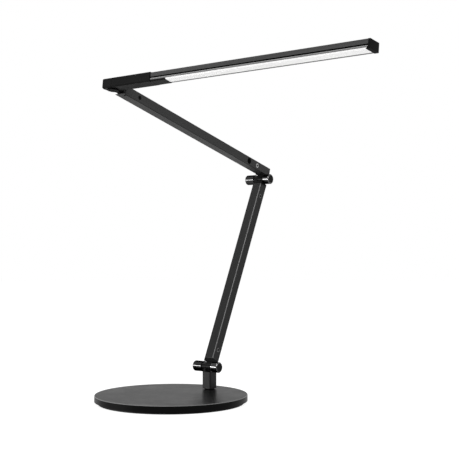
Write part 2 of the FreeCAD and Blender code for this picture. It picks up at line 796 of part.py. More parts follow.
def add_screw_head(body, face, wall, head, places):
    """Heads that lie on the tenon inside the wall, with hexagon sockets."""
    add(body, YZ, f"{face} - {wall}", f"{wall} - arm_screw_recess",
        *[circle(head, *place) for place in places])
    socket = [hexagon("arm_screw_socket", *place) for place in places]
    cut(body, YZ, f"{face} - arm_screw_recess - arm_screw_socket_depth",
        "arm_screw_socket_depth + cut_overrun", *socket)


def build_arm_screws(label, frame, face, wall, head, places):
    body = piece(label)
    add(body, YZ, f"{face} - {wall} - arm_screw_length", "arm_screw_length",
        *[circle("arm_screw_shank", *place) for place in places])
    add_screw_head(body, face, wall, head, places)
    finish(body, frame)


def build_lower_arm_wire():
    body = piece("lower_arm_wire")
    add(body, XY, "tube_setback", "lower_arm_length - 2 * tube_setback", circle("wire_diameter"))
    finish(body, lower_frame)


# Upper arm, in a frame at the upper hinge with the arm along minus Y


UPPER_BORE = ("arm_width - 2 * upper_arm_wall", "upper_arm_height - 2 * upper_arm_wall")
UPPER_TENON = tuple(f"{bore} - 2 * fit_clearance" for bore in UPPER_BORE)
UPPER_FACE = "arm_width / 2"
UPPER_UNDERSIDE = "upper_arm_lift - upper_arm_height / 2"
LUG_SCREW = ("-lug_screw_distance", "upper_arm_lift")
PORT = ("-port_distance", "upper_arm_lift")
INSERT_SCREW = ("insert_screw_distance - upper_arm_reach", "upper_arm_lift")
TILT_PIN = ("tilt_pin_inset - upper_arm_reach", "upper_arm_lift - tilt_pin_drop")
FORK_WIDTH = "tongue_width + 2 * running_gap"
WIRE_EXIT = circle("wire_exit_diameter", "wire_exit_offset", "wire_exit_inset - upper_arm_reach")


def build_upper_arm_tube():
    body = piece("upper_arm_tube")
    length = "upper_arm_reach + upper_arm_tail"
    add(body, XZ, "-upper_arm_tail", length, centred("arm_width", "upper_arm_height", "0", "upper_arm_lift"))
    chamfer(body, "upper_arm_chamfer", runs_along(Vector(0, 1, 0)))
    cut(body, XZ, "-upper_arm_tail - cut_overrun", f"{length} + 2 * cut_overrun",
        centred(*UPPER_BORE, "0", "upper_arm_lift"))
    slot = "stem_width + 2 * fit_clearance"
    cut(body, XY, f"{UPPER_UNDERSIDE} - cut_overrun", "upper_arm_wall + 2 * cut_overrun",
        rectangle(f"-({slot}) / 2", "-saddle_length / 2", f"({slot}) / 2", "upper_arm_tail + cut_overrun"))
    wall = (f"{UPPER_FACE} - upper_arm_wall - cut_overrun", "upper_arm_wall + 2 * cut_overrun")
    cut(body, YZ, *wall, circle("lug_screw_head + 2 * fit_clearance", *LUG_SCREW),
        circle("port_diameter + 2 * fit_clearance", *PORT),
        circle("arm_screw_head + 2 * fit_clearance", *INSERT_SCREW))
    cut(body, XY, f"{UPPER_UNDERSIDE} - cut_overrun", "upper_arm_wall + 2 * cut_overrun", WIRE_EXIT)
    finish(body, upper_frame)


def build_upper_arm_lug():
    """Knuckle and saddle under the arm, with a stem to a block inside the tube."""
    body = piece("upper_arm_lug")
    seat = f"{UPPER_UNDERSIDE} - ({KNUCKLE_CLEAR})"
    half = "saddle_length / 2"
    add(body, XY, KNUCKLE_CLEAR, seat, centred("arm_width", "saddle_length"))
    stem = f"upper_arm_wall + {seat} + stem_root"
    add(body, XY, KNUCKLE_CLEAR, stem, rectangle("-stem_width / 2", f"-{half} + fit_clearance",
                                                  "stem_width / 2", "block_start"))
    add(body, XZ, "-block_start", "block_start + block_end", centred(*UPPER_TENON, "0", "upper_arm_lift"))
    add_right_knuckle(body)
    cut(body, XZ, "block_end / 2", "block_end", circle(WIRE_HOLE, "0", "upper_arm_lift"))
    cut_screw_hole(body, UPPER_FACE, "upper_arm_wall", *LUG_SCREW)
    finish(body, upper_frame)


def build_port_plug():
    """Round plug in the side of the tube, held by a shoulder inside."""
    body = piece("port_plug")
    inside = f"{UPPER_FACE} - upper_arm_wall"
    add(body, YZ, f"{inside} - port_shoulder", "port_shoulder",
        circle("port_diameter + 2 * port_shoulder", *PORT))
    add(body, YZ, inside, "upper_arm_wall - port_recess", circle("port_diameter", *PORT))
    finish(body, upper_frame)


def build_tail_plug():
    """Rounded plug in the tail of the upper arm."""
    body = piece("tail_plug")
    rim = ("arm_width - 2 * tail_plug_inset", "upper_arm_height - 2 * tail_plug_inset")
    add(body, XZ, "-upper_arm_tail - tail_plug_bulge", "tail_plug_bulge",
        centred(*rim, "0", "upper_arm_lift"))
    end = size("upper_arm_tail") + size("tail_plug_bulge")
    fillet(body, "tail_plug_round", lambda edge: same(edge.BoundBox.YMin, end))
    add(body, XZ, "-upper_arm_tail", "tail_plug_length", centred(*UPPER_TENON, "0", "upper_arm_lift"))
    finish(body, upper_frame)


def build_arm_end_insert():
    """Fork for the neck inside the tube, with a flange on the tube's end and a lip below the neck."""
    body = piece("arm_end_insert")
    end = "upper_arm_reach"
    floor = f"{UPPER_UNDERSIDE} + flange_reveal"
    half = "arm_width / 2 - lip_inset"
    add(body, XZ, f"{end} - insert_length", "insert_length + flange_thickness",
        centred(*UPPER_TENON, "0", "upper_arm_lift"))
    add(body, XZ, end, "flange_thickness",
        rectangle(minus(half), floor, half, "upper_arm_lift + upper_arm_height / 2 - lip_inset"))
    add(body, XZ, end, "lip_length", rectangle(minus(half), floor, half, f"{floor} + lip_thickness"))
    cut(body, XZ, f"{end} - fork_depth", "fork_depth + flange_thickness + cut_overrun",
        rectangle(f"-({FORK_WIDTH}) / 2", f"{floor} + lip_thickness", f"({FORK_WIDTH}) / 2",
                  "upper_arm_lift + upper_arm_height"))
    cut(body, XY, f"{floor} - cut_overrun", "upper_arm_wall + wire_diameter", WIRE_EXIT)
    cut(body, YZ, f"-({UPPER_FACE})", "arm_width",
        circle("tilt_pin_diameter + 2 * fit_clearance", *TILT_PIN))
    cut(body, XZ, f"{end} - insert_length - cut_overrun", "insert_length + cut_overrun",
        circle(WIRE_HOLE, "0", "upper_arm_lift"))
    cut_screw_hole(body, UPPER_FACE, "upper_arm_wall", *INSERT_SCREW)
    finish(body, upper_frame)


def build_tilt_pin():
    body = piece("tilt_pin")
    length = UPPER_TENON[0]
    add(body, YZ, f"-({length}) / 2", length, circle("tilt_pin_diameter", *TILT_PIN))
    finish(body, upper_frame)


def build_upper_arm_wire():
    body = piece("upper_arm_wire")
    end = "upper_arm_reach - fork_depth"
    add(body, XZ, "block_end / 2", f"{end} - block_end / 2", circle("wire_diameter", "0", "upper_arm_lift"))
    finish(body, upper_frame)


# Neck and head, in a frame on the swivel axis at the underside of the light bar, with X along the bar


NECK_TOP = "-housing_drop - running_gap"
NECK_FOOT = f"{NECK_TOP} - tongue_thickness"
NECK_PIN = ("neck_length", "-tilt_pin_below_head")
REAR_FLOOR_TOP = "rear_floor - housing_drop"
NECK_WASHER_FOOT = f"{REAR_FLOOR_TOP} + running_gap"
NECK_NUT_FOOT = f"{NECK_WASHER_FOOT} + neck_washer_thickness"
HOUSING_FLOOR_TOP = "housing_floor - housing_drop"
HOUSING_HALF = "housing_width / 2"
HOUSING_BORE_HALF = "bar_width / 2 + fit_clearance"
HOUSING_BORE_TOP = "bar_height + fit_clearance"
REAR_BORE_HALF = f"{HOUSING_HALF} - rear_wall"


def build_neck():
    """Tongue from the tilt pin to a disc under the housing, with a hollow stud up into it."""
    body = piece("neck")
    add(body, XY, NECK_FOOT, "tongue_thickness", circle("neck_disc_diameter"))
    add(body, XY, NECK_FOOT, "tongue_thickness",
        rectangle("-tongue_width / 2", "0", "tongue_width / 2", "neck_length"))
    add(body, YZ, "-tongue_width / 2", "tongue_width", circle("neck_knuckle_diameter", *NECK_PIN))
    add(body, XY, NECK_TOP, f"neck_stud_height - ({NECK_TOP})", circle("neck_stud_diameter"))
    cut(body, XY, f"{NECK_FOOT} - cut_overrun", f"neck_stud_height - ({NECK_FOOT}) + 2 * cut_overrun",
        circle("neck_stud_bore"))
    cut(body, YZ, "-tongue_width / 2 - cut_overrun", "tongue_width + 2 * cut_overrun",
        circle("tilt_pin_diameter + 2 * running_clearance", *NECK_PIN))
    finish(body, head_frame)


def build_neck_washer():
    body = piece("neck_washer")
    add(body, XY, NECK_WASHER_FOOT, "neck_washer_thickness", circle("neck_washer_diameter"),
        circle("neck_stud_diameter + 2 * fit_clearance"))
    finish(body, head_frame)


def build_neck_nut():
    body = piece("neck_nut")
    add(body, XY, NECK_NUT_FOOT, "neck_nut_height", hexagon("neck_nut_width"),
        circle("neck_stud_diameter + 2 * fit_clearance"))
    finish(body, head_frame)


def build_neck_bush():
    body = piece("neck_bush")
    add(body, XY, "-housing_drop", "rear_floor", circle("neck_bush_diameter"),
        circle("neck_stud_diameter + 2 * running_clearance"))
    finish(body, head_frame)


def at_height(level):
    """A test for edges that lie at one height."""
    def chosen(edge):
        return same(edge.BoundBox.ZMin, level) and same(edge.BoundBox.ZMax, level)
    return chosen


def housing_screw_loops(diameter):
    places = [f"{side} * housing_screw_spacing / 2" for side in (-1, 1)]
    return [circle(diameter, "housing_screw_station", place) for place in places]


def build_rear_cap():
    """Rounded rear end of the housing, which turns on the neck's stud."""
    body = piece("rear_cap")
    height = "housing_top + housing_drop"
    add(body, XY, "-housing_drop", height,
        rectangle("-housing_rear_reach", minus(HOUSING_HALF), "housing_seam", HOUSING_HALF))
    upright = runs_along(Vector(0, 0, 1))
    fillet(body, "rear_corner_radius", lambda edge: upright(edge) and edge.BoundBox.XMax < 0)
    seam = size("housing_seam")
    for dressing, width, level in ((chamfer, "housing_chamfer", -size("housing_drop")),
                                   (fillet, "housing_top_round", size("housing_top"))):
        rim = at_height(level)
        dressing(body, width, lambda edge: rim(edge) and not same(edge.BoundBox.XMin, seam))
    bore = rectangle(minus(REAR_BORE_HALF), REAR_FLOOR_TOP, REAR_BORE_HALF, "housing_top - rear_wall")
    add(body, YZ, "housing_seam", "rear_tenon_length",
        rectangle(f"fit_clearance - ({HOUSING_BORE_HALF})", f"{HOUSING_FLOOR_TOP} + fit_clearance",
                  f"{HOUSING_BORE_HALF} - fit_clearance", f"{HOUSING_BORE_TOP} - fit_clearance"))
    cut(body, YZ, "rear_wall - housing_rear_reach",
        "housing_rear_reach - rear_wall + housing_seam + rear_tenon_length + cut_overrun", bore)
    cut(body, XY, "-housing_drop - cut_overrun", "rear_floor + 2 * cut_overrun",
        circle("neck_bush_diameter + 2 * fit_clearance"))
    cut(body, XY, f"{HOUSING_FLOOR_TOP}", f"{REAR_FLOOR_TOP} - ({HOUSING_FLOOR_TOP}) + cut_overrun",
        *housing_screw_loops("housing_screw_shank + 2 * fit_clearance"))
    finish(body, head_frame)


def build_head_housing():
    """Sleeve over the rear end of the bar and the tenon of the rear cap."""
    body = piece("head_housing")
    length = "housing_end - housing_seam - seam_gap"
    add(body, YZ, "housing_seam + seam_gap", length,
        rectangle(minus(HOUSING_HALF), "-housing_drop", HOUSING_HALF, "housing_top"))
    lengthwise = runs_along(Vector(1, 0, 0))
    chamfer(body, "housing_chamfer", lambda edge: lengthwise(edge) and edge.BoundBox.ZMax < 0)
    top = size("housing_top")
    fillet(body, "housing_top_round", lambda edge: lengthwise(edge) and same(edge.BoundBox.ZMax, top))
    cut(body, YZ, "housing_seam - cut_overrun", f"{length} + 2 * cut_overrun",
        rectangle(minus(HOUSING_BORE_HALF), HOUSING_FLOOR_TOP, HOUSING_BORE_HALF, HOUSING_BORE_TOP))
    cut(body, XY, "-housing_drop - cut_overrun", "housing_floor + 2 * cut_overrun",
        *housing_screw_loops("housing_screw_shank + 2 * fit_clearance"))
    cut(body, XY, "-housing_drop - cut_overrun", "housing_screw_head_height + cut_overrun",
        *housing_screw_loops("housing_screw_head + 2 * fit_clearance"))
    finish(body, head_frame)


def build_housing_screws():
    body = piece("housing_screws")
    add(body, XY, "-housing_drop", "housing_screw_head_height", *housing_screw_loops("housing_screw_head"))
    add(body, XY, "housing_screw_head_height - housing_drop", "housing_screw_length",
        *housing_screw_loops("housing_screw_shank"))
    finish(body, head_frame)


# Light bar: sections are drawn across the bar and run along it


BAR_HALF = "bar_width / 2"
LEG_OUTER = f"{BAR_HALF} - groove_inset"
LEG_INNER = f"{LEG_OUTER} - leg_thickness"
HOOK_OUTER = f"{LEG_INNER} - fit_clearance"
DIFFUSER_START = "housing_end + seam_gap"
DIFFUSER_FLAT = f"{BAR_HALF} - diffuser_chamfer"
BOARD_FOOT = "channel_top - board_thickness"


def build_bar_profile():
    """Black extrusion with two legs that make the shadow line above the diffuser."""
    body = piece("bar_profile")
    leg_foot = "groove_bottom + fit_clearance"
    add(body, YZ, "bar_start", "bar_end - bar_start", mirrored(
        [(LEG_INNER, "channel_top"), (LEG_INNER, leg_foot), (LEG_OUTER, leg_foot), (LEG_OUTER, "groove_top"),
         (BAR_HALF, "groove_top"), (BAR_HALF, "bar_height - bar_top_chamfer"),
         (f"{BAR_HALF} - bar_top_chamfer", "bar_height")]))
    finish(body, head_frame)


def build_bar_diffuser():
    """Translucent channel with hooks inside the legs of the extrusion, cut slantwise at the end cap."""
    body = piece("bar_diffuser")
    shelf = "groove_bottom - diffuser_wall"
    wall_inner = f"{BAR_HALF} - diffuser_wall"
    hook_inner = f"{HOOK_OUTER} - hook_thickness"
    hook_top = "groove_bottom + hook_height"
    add(body, YZ, DIFFUSER_START, f"bar_end - ({DIFFUSER_START})", mirrored(
        [(DIFFUSER_FLAT, "0"), (BAR_HALF, "diffuser_chamfer"), (BAR_HALF, "groove_bottom"),
         (HOOK_OUTER, "groove_bottom"), (HOOK_OUTER, hook_top), (hook_inner, hook_top), (hook_inner, shelf),
         (wall_inner, shelf), (wall_inner, "diffuser_chamfer"), (DIFFUSER_FLAT, "diffuser_wall")]))
    cut(body, XZ, minus(BAR_HALF), "bar_width",
        [("bar_end - end_cap_slant - fit_clearance", "0"), ("bar_end + cut_overrun", "0"),
         ("bar_end + cut_overrun", "groove_bottom"), ("bar_end - fit_clearance", "groove_bottom")])
    finish(body, head_frame)


def build_bar_mask():
    """Black cover under the first stretch of the diffuser, cut slantwise at its end."""
    body = piece("bar_mask")
    side = f"{BAR_HALF} + mask_side_thickness"
    add(body, YZ, DIFFUSER_START, f"mask_end_near - ({DIFFUSER_START})", mirrored(
        [(DIFFUSER_FLAT, "0"), (BAR_HALF, "diffuser_chamfer"), (side, "diffuser_chamfer"),
         (f"{DIFFUSER_FLAT} + mask_side_thickness", "-mask_thickness")]))
    cut(body, XY, "-mask_thickness - cut_overrun", "mask_thickness + diffuser_chamfer + 2 * cut_overrun",
        [("mask_end_near", minus(side)), ("mask_end_near + cut_overrun", minus(side)),
         ("mask_end_near + cut_overrun", side), ("mask_end_far", side)])
    finish(body, head_frame)


def build_led_board():
    body = piece("led_board")
    add(body, XY, BOARD_FOOT, "board_thickness",
        rectangle("board_start", "-board_width / 2", "bar_end - board_end_gap", "board_width / 2"))
    finish(body, head_frame)


def build_led_chips():
    """A row of chips under the board, evenly spaced."""
    body = piece("led_chips")
    first = "board_start + chip_margin"
    add(body, XY, f"{BOARD_FOOT} - chip_height", "chip_height",
        rectangle(first, "-chip_width / 2", f"{first} + chip_length", "chip_width / 2"))
    doc.recompute()
    source = body.Tip
    row = body.newObject("PartDesign::LinearPattern", "led_chip_row")
    row.Originals = [source]
    row.Direction = (next(item for item in body.Origin.OriginFeatures if item.Role == "X_Axis"), [""])
    row.Occurrences = CHIP_COUNT
    bind(row, "Length", "bar_end - board_end_gap - board_start - 2 * chip_margin - chip_length")
    body.Tip = row
    finish(body, head_frame)


def build_driver_board():
    body = piece("driver_board")
    add(body, XY, BOARD_FOOT, "board_thickness",
        rectangle("driver_start", "-board_width / 2", "driver_start + driver_length", "board_width / 2"))
    add(body, XY, f"{BOARD_FOOT} - driver_part_height", "driver_part_height",
        *[centred(f"driver_length * {length}", "driver_part_width", f"driver_start + driver_length * {place}")
          for place, length in DRIVER_PART_SHARES])
    finish(body, head_frame)


def build_end_cap():
    """Cap on the free end of the bar, longer below, with a tenon in the extrusion's channel."""
    body = piece("end_cap")
    add(body, XZ, minus(BAR_HALF), "bar_width",
        [("bar_end", "groove_bottom"), ("bar_end - end_cap_slant", "0"), ("bar_end + end_cap_length", "0"),
         ("bar_end + end_cap_length", "bar_height"), ("bar_end", "bar_height")])
    half = f"{HOOK_OUTER} - hook_thickness - fit_clearance"
    add(body, YZ, "bar_end - end_cap_tenon", "end_cap_tenon",
        rectangle(minus(half), "groove_bottom", half, "channel_top - fit_clearance"))
    finish(body, head_frame)


def build_base():
    build_base_plate()
    build_base_cover()
    build_base_pad()
    build_base_cover_screws()
    build_power_jack()
    build_swivel_bush()
    build_stop_pin()


def build_post():
    build_post_tube()
    build_swivel_stud()
    build_stop_washer()
    build_swivel_spring()
    build_swivel_nut()
    build_post_grub_screws()
    build_post_lug()
    build_hinge_set("lower", post_hinge_frame)


def build_lower_arm():
    build_lower_arm_tube()
    build_lower_arm_foot()
    build_lower_arm_top()
    build_hinge_bush("lower_hinge_bush", lower_frame)
    build_arm_screws("lower_arm_screws", lower_frame, LOWER_FACE, "lower_arm_wall", "arm_screw_head",
                     [("0", place) for place in LOWER_SCREWS])
    build_lower_arm_wire()
    build_hinge_set("upper", lower_top_frame)


def build_upper_arm():
    build_upper_arm_tube()
    build_upper_arm_lug()
    build_hinge_bush("upper_hinge_bush", upper_frame)
    build_arm_screws("upper_arm_lug_screw", upper_frame, UPPER_FACE, "upper_arm_wall", "lug_screw_head",
                     [LUG_SCREW])
    build_arm_screws("arm_end_screw", upper_frame, UPPER_FACE, "upper_arm_wall", "arm_screw_head",
                     [INSERT_SCREW])
    build_port_plug()
    build_tail_plug()
    build_arm_end_insert()
    build_tilt_pin()
    build_upper_arm_wire()


def build_head():
    build_neck()
    build_neck_washer()
    build_neck_nut()
    build_neck_bush()
    build_rear_cap()
    build_head_housing()
    build_housing_screws()
    build_bar_profile()
    build_bar_diffuser()
    build_bar_mask()
    build_led_board()
    build_led_chips()
    build_driver_board()
    build_end_cap()


def check():
    """Every object up to date and every piece a valid shape."""
    doc.recompute()
    for item in doc.Objects:
        if "Invalid" in item.State or "Error" in item.State:
            raise ValueError(f"{item.Label} failed: {item.State}")
    for body in pieces:
        if body.Shape.isNull() or not body.Shape.isValid():
            raise ValueError(f"{body.Label} has no valid shape")


def export():
    os.makedirs("parts", exist_ok=True)
    for body in pieces:
        body.Shape.exportStep(f"parts/{body.Label}.step")


build_base()
build_post()
build_lower_arm()
build_upper_arm()
build_head()
check()
export()
print(len(pieces), "pieces written")
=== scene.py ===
import json
import math

import bpy
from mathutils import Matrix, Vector


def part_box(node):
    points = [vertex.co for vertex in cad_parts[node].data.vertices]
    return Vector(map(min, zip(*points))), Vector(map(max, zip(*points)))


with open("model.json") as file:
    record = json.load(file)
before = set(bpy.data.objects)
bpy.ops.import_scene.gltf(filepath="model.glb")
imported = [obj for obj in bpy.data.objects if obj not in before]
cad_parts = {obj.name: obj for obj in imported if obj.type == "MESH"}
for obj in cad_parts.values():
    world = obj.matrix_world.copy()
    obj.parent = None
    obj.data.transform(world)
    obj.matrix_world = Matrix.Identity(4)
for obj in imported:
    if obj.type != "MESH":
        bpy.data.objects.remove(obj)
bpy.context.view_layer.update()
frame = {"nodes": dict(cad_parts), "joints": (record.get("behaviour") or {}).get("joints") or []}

# Joints of the frame by name, and from them the lower arm's run and the axis that the bar swivels about
JOINTS = {joint["name"]: joint for joint in frame["joints"]}
LOWER_ARM = Vector(JOINTS["upper_arm_tilt"]["pos_m"]) - Vector(JOINTS["lower_arm_tilt"]["pos_m"])
BAR_AXIS = Vector(JOINTS["head_swivel"]["axis"])

# Angles of the arms and the light bar at rest, in degrees about the X axis
POST_LEAN = 0.0
LOWER_ARM_LEAN = math.degrees(math.atan2(LOWER_ARM.y, LOWER_ARM.z))
UPPER_ARM_PITCH = 14.96
BAR_ROLL = math.degrees(math.atan2(-BAR_AXIS.y, -BAR_AXIS.z))

# Swivel axis at the underside of the bar, and the far edge and top edge of the diffuser's window that is
# painted to glow, from there
BAR_ORIGIN = JOINTS["head_swivel"]["pos_m"]
WINDOW_FAR = 0.0046
WINDOW_BLUR = 0.0003
WINDOW_TOP = 0.00144

# Heights from there between which the diffuser's side is painted from dark shade to paler, and the groove
# in the bar's side that is painted black as shade
SIDE_FOOT = 0.00214
SIDE_TOP = 0.00344
GROOVE_MIDDLE = 0.00444
GROOVE_HALF = 0.00095
GROOVE_MOUTH = 0.0091

# Part of a bevel's normal along an axis, and how far it may stray
BEVEL_SLOPE = 0.7
BEVEL_SPREAD = 0.1

# Depth of the painted highlight on the edge under the base's top, the height where it ends, and a height
# under every piece
RIM_HIGHLIGHT_DEPTH = 0.0013
RIM_HIGHLIGHT_TOP = JOINTS["base_swivel"]["pos_m"][2] - RIM_HIGHLIGHT_DEPTH
UNDER_ALL = -1.0

# Radius inside which a screw's head is its socket painted black as shade, and that painted shade's black
LUG_SOCKET = 0.0017
ARM_SOCKET = 0.0019
SOCKET_SHADE = 0.004

# Distance of the lower arm's two screws from its hinges, and half the distance between them
SCREW_INSET = 0.027075
SCREW_SPREAD = LOWER_ARM.length / 2 - SCREW_INSET

# How far fine lines are drawn out along a piece or round it
ALONG_BAR = (60.0, 1.0, 1.0)
ALONG_UPPER_ARM = (1.0, 50.0, 1.0)
ALONG_UPRIGHT = (1.0, 1.0, 50.0)
ROUND_HINGE = (1.0, 14.0, 14.0)

# Depths of drawn lines, hair scratches, screw rings and fine grain
LINE_DEPTH = 0.00002
HAIR_DEPTH = 0.000004
SCREW_RING_DEPTH = 0.000006
FINE_DEPTH = 0.00001

# Scales of a slow change of tone, of wide lines and of streaks, as shares of their effect's own scale
BROAD_SHARE = 0.02
WIDE_SHARE = 0.2
STREAK_SHARE = 4.0

# Scale at which the tone changes from one turned ring to the next
RING_TONE_SCALE = 1.3

# Spans of tone over which a finish changes its roughness
GRAIN_SPAN = (0.2, 0.8)
LINE_SPAN = (0.0, 1.0)
RING_SPAN = (0.3, 0.7)

# Grey and warmth of fallen dust, and the scales of its motes and its drifts
DUST_GREY = 0.3
DUST_WARMTH = 0.04
MOTE_SCALE = 900.0
DRIFT_SCALE = 22.0

# Reach within which a corner counts as lying in, and the rays that feel for it and for edges
CORNER_REACH = 0.002
EDGE_RAYS = 6

# Painted glow of the diffuser's window, and the warmth of its milk and of the clouds in it
WINDOW_PAINTED_GLOW = 0.53
MILK_WARMTH = 0.004
CLOUD_WARMTH = -0.006

# Camera matched to the photograph's angle
CAMERA_PLACE = (0.8651, -0.9874, 0.2016)
CAMERA_TURN = (91.48, 0.0, 37.76)
CAMERA_LENS = 75.18
CAMERA_SENSOR = 36.0

# Floor, with its paper's grey, the grey that keeps a shadow and the glow that makes it white
FLOOR_RADIUS = 6.0
FLOOR_DROP = 0.0001
FLOOR_SIDES = 96
FLOOR_PAPER = 0.78
FLOOR_SHADOW = 0.3
FLOOR_GLOW = 0.88

# Strength of the surroundings where they light and where they are seen
STUDIO_SOFT = 0.45
STUDIO_WHITE = 1.0


# Node helpers


FLOAT = "NodeSocketFloat"
VECTOR = "NodeSocketVector"


def add_node(tree, kind, inputs=None, **settings):
    """A node with its settings; each input is a value or another node's output."""
    node = tree.nodes.new(kind)
    for name, value in settings.items():
        setattr(node, name, value)
    for name, value in (inputs or {}).items():
        socket = node.inputs[name]
        if isinstance(value, bpy.types.NodeSocket):
            tree.links.new(value, socket)
        else:
            socket.default_value = value
    return node


def math_node(tree, operation, first, second=0.0, third=0.0):
    """One step of arithmetic on values or other nodes' outputs."""
    node = add_node(tree, "ShaderNodeMath", {0: first, 1: second, 2: third}, operation=operation)
    return node.outputs[0]


def times(tree, first, second):
    return math_node(tree, "MULTIPLY", first, second)


def blend(tree, first, second, share):
    """A share of one value and the rest of another."""
    return math_node(tree, "ADD", times(tree, first, share), times(tree, second, 1 - share))


def remap(tree, value, low, high, new_low=0.0, new_high=1.0):
    """Carry a value from one range to another and hold it there."""
    node = add_node(tree, "ShaderNodeMapRange", {"Value": value, "From Min": low, "From Max": high,
                                                 "To Min": new_low, "To Max": new_high})
    return node.outputs["Result"]


def noise(tree, vector, scale, detail=2.0, roughness=0.5):
    node = add_node(tree, "ShaderNodeTexNoise", {"Vector": vector, "Scale": scale, "Detail": detail,
                                                 "Roughness": roughness})
    return node.outputs["Fac"]


def split(tree, vector):
    """The three parts of a vector."""
    return add_node(tree, "ShaderNodeSeparateXYZ", {0: vector}).outputs


def mix_colour(tree, factor, first, second):
    node = add_node(tree, "ShaderNodeMix", {"Factor": factor, "A": first, "B": second}, data_type="RGBA")
    return node.outputs["Result"]


def lay_over(tree, colour, top, mask, share):
    """A colour with a share of another laid over it where a mask says."""
    return mix_colour(tree, times(tree, mask, share), colour, top)


def grey(level, warmth=0.0):
    """An almost neutral colour, a little warm or cool."""
    return (level * (1 + warmth), level, level * (1 - warmth), 1.0)


def worn_and_highlit_grey(level, gain):
    """The grey of an edge painted brighter than its face, partly as wear and partly as painted highlight.
    """
    return grey(min(1.0, level * gain))


def new_group(name, inputs, outputs):
    """An empty shader group with named inputs and outputs."""
    group = bpy.data.node_groups.new(name, "ShaderNodeTree")
    for label, kind, value in inputs:
        socket = group.interface.new_socket(label, in_out="INPUT", socket_type=kind)
        if value is not None:
            socket.default_value = value
    for label in outputs:
        group.interface.new_socket(label, in_out="OUTPUT", socket_type=FLOAT)
    return group, group.nodes.new("NodeGroupInput").outputs, group.nodes.new("NodeGroupOutput").inputs


# Effects that several finishes share


def make_edge_wear_and_highlight():
    """Where sharp edges are painted bright, partly as wear and partly as painted highlight, broken up along
    their length, but not corners that lie in.
    """
    group, given, result = new_group("edge_wear_and_highlight", [("Vector", VECTOR, None), ("Radius", FLOAT, 0.0005),
                                                   ("Breakup", FLOAT, 180.0)], ["Mask"])
    rounded = add_node(group, "ShaderNodeBevel", {"Radius": given["Radius"]}, samples=EDGE_RAYS)
    surface = add_node(group, "ShaderNodeNewGeometry")
    likeness = add_node(group, "ShaderNodeVectorMath", operation="DOT_PRODUCT",
                        inputs={0: rounded.outputs["Normal"], 1: surface.outputs["Normal"]})
    edge = remap(group, likeness.outputs["Value"], low=0.99, high=0.86)
    flecks = noise(group, given["Vector"], given["Breakup"], detail=4.0, roughness=0.6)
    patches = remap(group, flecks, low=0.38, high=0.62, new_low=0.5)
    open_air = add_node(group, "ShaderNodeAmbientOcclusion", {"Distance": CORNER_REACH}, samples=EDGE_RAYS)
    standing = remap(group, open_air.outputs["AO"], low=0.75, high=0.95)
    group.links.new(times(group, times(group, edge, patches), standing), result["Mask"])
    return group


def make_coat_grain():
    """Fine pimples of a sprayed coat, with a slow change of tone across them."""
    group, given, result = new_group("coat_grain", [("Vector", VECTOR, None), ("Scale", FLOAT, 1800.0)],
                                     ["Height", "Tone"])
    pimples = noise(group, given["Vector"], given["Scale"], detail=3.0, roughness=0.55)
    broad = noise(group, given["Vector"], times(group, given["Scale"], BROAD_SHARE), detail=3.0)
    speck = remap(group, pimples, low=0.3, high=0.7)
    group.links.new(pimples, result["Height"])
    group.links.new(blend(group, speck, broad, share=0.45), result["Tone"])
    return group


def make_drawn_lines():
    """Fine lines along a drawn tube or extrusion; the vector comes in stretched along the piece."""
    group, given, result = new_group("drawn_lines", [("Vector", VECTOR, None), ("Scale", FLOAT, 1600.0)],
                                     ["Height", "Tone"])
    fine = noise(group, given["Vector"], given["Scale"])
    wide = noise(group, given["Vector"], times(group, given["Scale"], WIDE_SHARE))
    height = blend(group, fine, wide, share=0.7)
    group.links.new(height, result["Height"])
    group.links.new(remap(group, height, low=0.3, high=0.7), result["Tone"])
    return group


def make_handling():
    """Soft smears that handling leaves on a finish."""
    group, given, result = new_group("handling", [("Vector", VECTOR, None), ("Scale", FLOAT, 28.0)],
                                     ["Mask"])
    blotches = noise(group, given["Vector"], given["Scale"], detail=4.0, roughness=0.6)
    streaks = noise(group, given["Vector"], times(group, given["Scale"], STREAK_SHARE))
    both = times(group, remap(group, blotches, low=0.42, high=0.68),
                 remap(group, streaks, low=0.3, high=0.7, new_low=0.5))
    group.links.new(both, result["Mask"])
    return group


def make_dust():
    """A thin fall of dust on faces that look up."""
    group, given, result = new_group("dust", [("Vector", VECTOR, None)], ["Mask"])
    surface = add_node(group, "ShaderNodeNewGeometry")
    facing = remap(group, split(group, surface.outputs["Normal"])["Z"], low=0.6, high=0.98)
    specks = noise(group, given["Vector"], MOTE_SCALE, roughness=0.6)
    motes = remap(group, specks, low=0.62, high=0.74)
    clouds = noise(group, given["Vector"], DRIFT_SCALE, detail=3.0)
    drifts = remap(group, clouds, low=0.35, high=0.7, new_low=0.2)
    group.links.new(times(group, facing, times(group, motes, drifts)), result["Mask"])
    return group


def make_turned_rings():
    """Rings that a lathe leaves about an axis along X through the origin of the vector."""
    group, given, result = new_group("turned_rings", [("Vector", VECTOR, None), ("Pitch", FLOAT, 0.0004)],
                                     ["Height", "Tone"])
    parts = split(group, given["Vector"])
    square = math_node(group, "ADD", math_node(group, "POWER", parts["Y"], 2.0),
                       math_node(group, "POWER", parts["Z"], 2.0))
    turns = math_node(group, "DIVIDE", math_node(group, "SQRT", square), given["Pitch"])
    wave = math_node(group, "SINE", times(group, turns, 2 * math.pi))
    group.links.new(remap(group, wave, low=-1.0, high=1.0), result["Height"])
    along = add_node(group, "ShaderNodeCombineXYZ", {"X": turns})
    group.links.new(noise(group, along.outputs[0], RING_TONE_SCALE), result["Tone"])
    return group


EDGE_WEAR_AND_HIGHLIGHT = make_edge_wear_and_highlight()
COAT_GRAIN = make_coat_grain()
DRAWN_LINES = make_drawn_lines()
HANDLING = make_handling()
DUST = make_dust()
TURNED_RINGS = make_turned_rings()


def use_group(tree, group, **inputs):
    """Place a shared effect in a material with its own values."""
    named = {name.capitalize(): value for name, value in inputs.items()}
    return add_node(tree, "ShaderNodeGroup", named, node_tree=group).outputs


# Finishes


